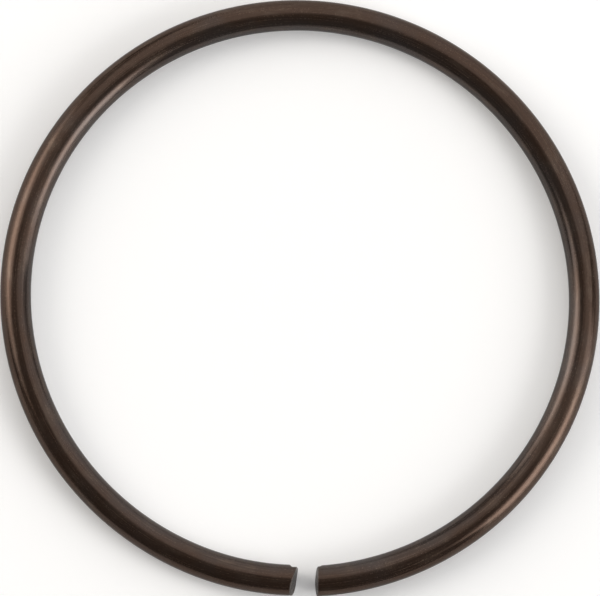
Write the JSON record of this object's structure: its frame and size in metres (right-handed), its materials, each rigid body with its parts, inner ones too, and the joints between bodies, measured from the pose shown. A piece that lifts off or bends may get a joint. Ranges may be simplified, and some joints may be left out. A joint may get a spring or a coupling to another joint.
{
  "type": "round wire snap ring",
  "caption": "Open ring of round spring wire with sheared ends, sprung into a shaft groove to stop a part from sliding along the shaft.",
  "frame": {"origin": "centre of the ring, in the plane that the ring lies on", "axes": "+Z along the ring's axis, away from the surface it lies on; the gap between the ends is on the -Y side"},
  "size_m": [0.0624, 0.0625, 0.0032],
  "materials": {
    "spring_steel": "satin"
  },
  "bodies": {
    "root": {"snap_ring": "spring_steel"}
  },
  "joints": []
}
